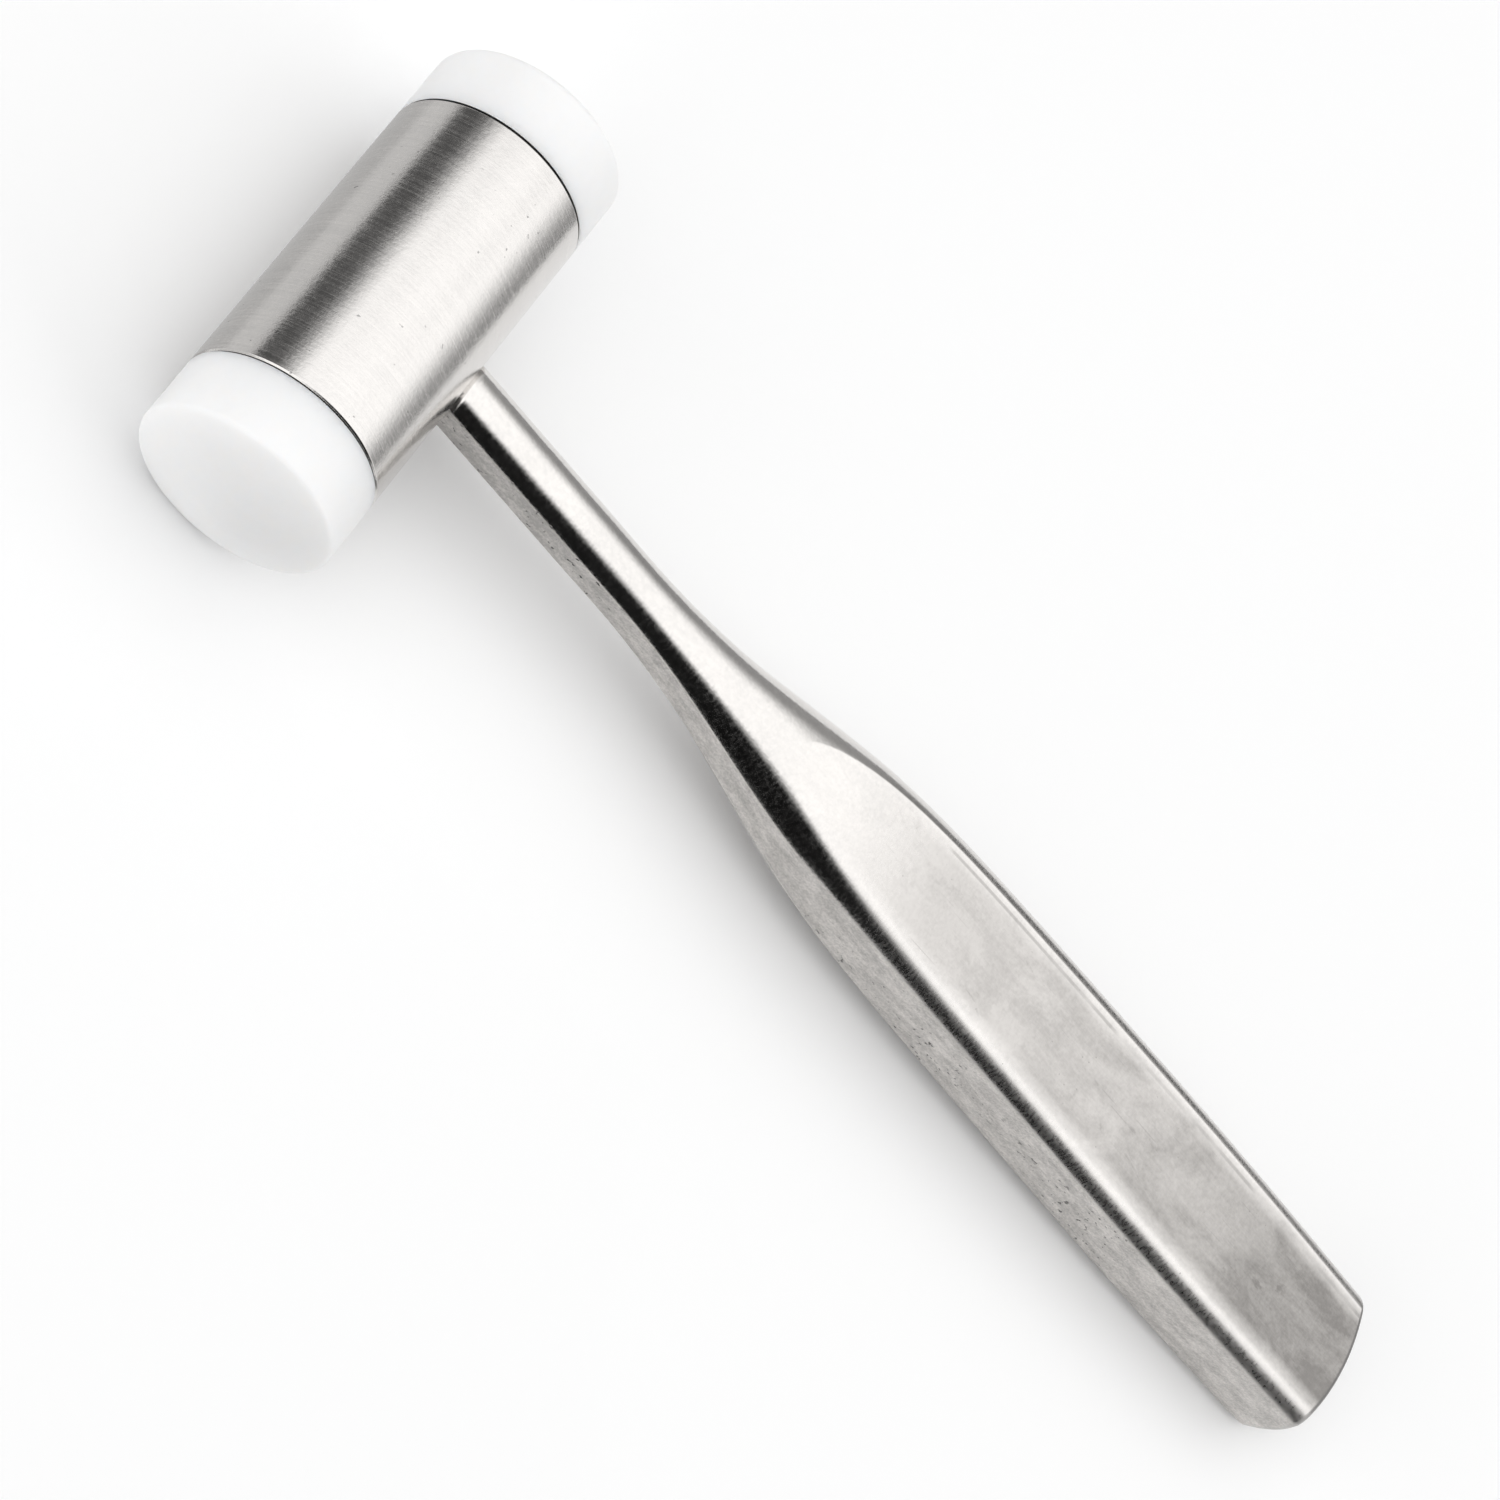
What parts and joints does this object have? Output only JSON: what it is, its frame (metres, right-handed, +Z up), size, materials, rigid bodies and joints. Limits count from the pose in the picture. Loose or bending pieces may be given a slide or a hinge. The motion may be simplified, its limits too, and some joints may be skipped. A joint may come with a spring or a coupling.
{
  "type": "surgical mallet",
  "caption": "Surgical bone mallet with domed nylon striking caps on a steel drum head, and a forged steel handle that flares into a broad flat grip.",
  "frame": {"origin": "on the surface the mallet lies on, under the middle of its box", "axes": "+Y along the head's axis, +X along the handle from head to butt, +Z up"},
  "size_m": [0.1874, 0.0626, 0.024],
  "materials": {
    "handle_steel": "ground and satin polished stainless steel, sides left matt",
    "drum_steel": "stainless steel brushed around the drum",
    "far_cap_nylon": "turned white nylon, satin",
    "near_cap_nylon": "turned white nylon, satin"
  },
  "bodies": {
    "tool": {"handle": "handle_steel", "head_drum": "drum_steel"},
    "far_striker": {"far_cap": "far_cap_nylon"},
    "near_striker": {"near_cap": "near_cap_nylon"}
  },
  "joints": [
    {"name": "far_cap_out", "type": "slide", "parent": "tool", "child": "far_striker", "axis": [0, 1, 0], "range_m": [0, 0.0105]},
    {"name": "near_cap_out", "type": "slide", "parent": "tool", "child": "near_striker", "axis": [0, -1, 0], "range_m": [0, 0.0105]}
  ]
}
